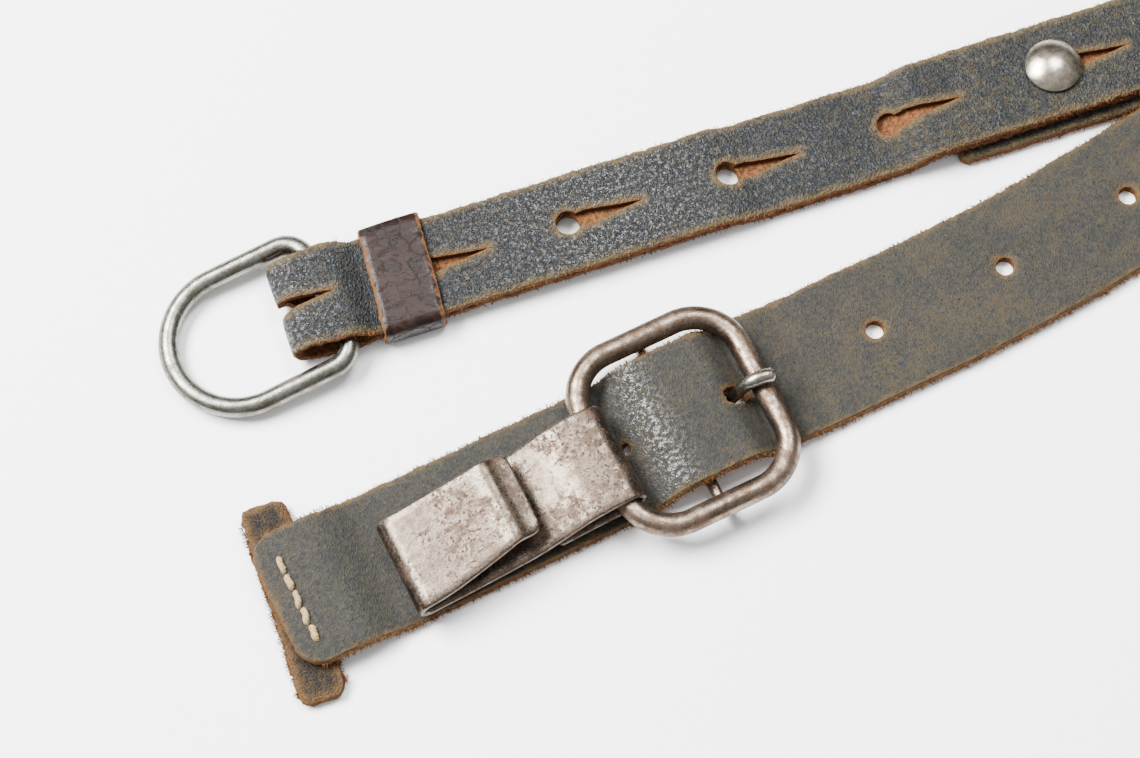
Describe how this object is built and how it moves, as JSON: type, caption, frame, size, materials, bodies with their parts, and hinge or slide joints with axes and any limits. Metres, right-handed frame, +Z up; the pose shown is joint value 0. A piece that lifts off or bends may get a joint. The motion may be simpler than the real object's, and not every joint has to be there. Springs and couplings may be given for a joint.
{
  "type": "field harness suspenders",
  "caption": "Leather harness laid flat: two front straps and a rear strap on a steel ring, with prong buckles, strip hooks, wire rings, keepers and slotted straps on studs.",
  "frame": {"origin": "centre of the back ring, on the surface that the harness lies on", "axes": "+X along the harness to the rear, +Y to its right side, +Z up"},
  "size_m": [1.0302, 0.3084, 0.013],
  "materials": {
    "worn_leather": "worn matte olive-brown leather with dark pores",
    "black_leather": "cracked pebbled blue-black leather with tan edges",
    "brown_leather": "glossy dark brown leather",
    "steel": "worn bare steel with brown rust",
    "nickel": "polished nickel",
    "thread": "waxed linen thread"
  },
  "bodies": {
    "left_front": {"left_front_strap": "worn_leather", "left_end_stop": "black_leather", "left_stop_stitches": "thread", "left_buckle_frame": "steel", "left_aux_anchor": "black_leather", "left_anchor_rivets": "steel", "left_aux_stud": "nickel", "left_ring_chape": "black_leather", "left_chape_rivets": "steel", "left_loop_rivets": "steel"},
    "left_prong": {"left_buckle_prong": "steel"},
    "left_hook": {"left_front_hook": "steel"},
    "left_aux": {"left_aux_strap": "black_leather"},
    "left_keeper": {"left_aux_keeper": "brown_leather"},
    "left_ring": {"left_aux_ring": "steel"},
    "left_shoulder": {"left_shoulder_ring": "steel"},
    "right_front": {"right_front_strap": "worn_leather", "right_end_stop": "black_leather", "right_stop_stitches": "thread", "right_buckle_frame": "steel", "right_aux_anchor": "black_leather", "right_anchor_rivets": "steel", "right_aux_stud": "nickel", "right_ring_chape": "black_leather", "right_chape_rivets": "steel", "right_loop_rivets": "steel"},
    "right_prong": {"right_buckle_prong": "steel"},
    "right_hook": {"right_front_hook": "steel"},
    "right_aux": {"right_aux_strap": "black_leather"},
    "right_keeper": {"right_aux_keeper": "brown_leather"},
    "right_ring": {"right_aux_ring": "steel"},
    "right_shoulder": {"right_shoulder_ring": "steel"},
    "back_ring": {"back_ring": "steel"},
    "rear_anchor": {"rear_anchor": "black_leather", "rear_rivets": "steel", "rear_stud": "nickel"},
    "rear_strap": {"rear_strap": "black_leather"},
    "rear_keeper": {"rear_keeper": "brown_leather"},
    "rear_loop": {"rear_loop": "steel"},
    "rear_hook": {"rear_hook": "steel"}
  },
  "joints": [
    {"name": "back_ring_turn", "type": "hinge", "parent": "left_front", "child": "back_ring", "pos_m": [0, 0, 0.0056], "axis": [0, 0, 1], "range_deg": [-20, 2]},
    {"name": "right_front_swing", "type": "hinge", "parent": "back_ring", "child": "right_front", "pos_m": [0, 0, 0.0056], "axis": [0, 0, 1], "range_deg": [-20, 2]},
    {"name": "left_prong_lift", "type": "hinge", "parent": "left_front", "child": "left_prong", "pos_m": [-0.57923, -0.1291, 0.00245], "axis": [0, -1, 0], "range_deg": [0, 4]},
    {"name": "left_hook_swing", "type": "hinge", "parent": "left_front", "child": "left_hook", "pos_m": [-0.59753, -0.1324, 0.0074], "axis": [0, 1, 0], "range_deg": [0, 100]},
    {"name": "left_aux_swing", "type": "hinge", "parent": "left_front", "child": "left_aux", "pos_m": [-0.47123, -0.095, 0.0031], "axis": [0, 0, 1], "range_deg": [-12, 4]},
    {"name": "left_ring_swing", "type": "hinge", "parent": "left_aux", "child": "left_ring", "pos_m": [-0.63341, -0.0729, 0.00475], "axis": [0, 1, 0], "range_deg": [0, 150]},
    {"name": "left_keeper_slide", "type": "slide", "parent": "left_aux", "child": "left_keeper", "axis": [0.9913, -0.1314, 0], "range_m": [0, 0.06]},
    {"name": "left_shoulder_ring_swing", "type": "hinge", "parent": "left_front", "child": "left_shoulder", "pos_m": [-0.28614, -0.10431, 0.00665], "axis": [-0.1219, 0.9925, 0], "range_deg": [0, 150]},
    {"name": "right_prong_lift", "type": "hinge", "parent": "right_front", "child": "right_prong", "pos_m": [-0.57923, 0.1291, 0.00245], "axis": [0, -1, 0], "range_deg": [0, 4]},
    {"name": "right_hook_swing", "type": "hinge", "parent": "right_front", "child": "right_hook", "pos_m": [-0.59753, 0.1324, 0.0074], "axis": [0, 1, 0], "range_deg": [0, 100]},
    {"name": "right_aux_swing", "type": "hinge", "parent": "right_front", "child": "right_aux", "pos_m": [-0.47123, 0.095, 0.0031], "axis": [0, 0, -1], "range_deg": [-12, 4]},
    {"name": "right_ring_swing", "type": "hinge", "parent": "right_aux", "child": "right_ring", "pos_m": [-0.63341, 0.0729, 0.00475], "axis": [0, 1, 0], "range_deg": [0, 150]},
    {"name": "right_keeper_slide", "type": "slide", "parent": "right_aux", "child": "right_keeper", "axis": [0.9913, 0.1314, 0], "range_m": [0, 0.06]},
    {"name": "right_shoulder_ring_swing", "type": "hinge", "parent": "right_front", "child": "right_shoulder", "pos_m": [-0.28614, 0.10431, 0.00665], "axis": [0.1219, 0.9925, 0], "range_deg": [0, 150]},
    {"name": "rear_anchor_swing", "type": "hinge", "parent": "back_ring", "child": "rear_anchor", "pos_m": [0, 0, 0.0056], "axis": [0, 0, 1], "range_deg": [-25, 25]},
    {"name": "rear_strap_swing", "type": "hinge", "parent": "rear_anchor", "child": "rear_strap", "pos_m": [0.092, 0, 0.0031], "axis": [0, 0, 1], "range_deg": [-15, 15]},
    {"name": "rear_keeper_slide", "type": "slide", "parent": "rear_strap", "child": "rear_keeper", "axis": [-1, 0, 0], "range_m": [0, 0.06]},
    {"name": "rear_loop_swing", "type": "hinge", "parent": "rear_strap", "child": "rear_loop", "pos_m": [0.2932, 0, 0.00475], "axis": [0, -1, 0], "range_deg": [0, 90]},
    {"name": "rear_hook_swing", "type": "hinge", "parent": "rear_loop", "child": "rear_hook", "pos_m": [0.3072, 0, 0.0045], "axis": [0, -1, 0], "range_deg": [0, 90]}
  ]
}
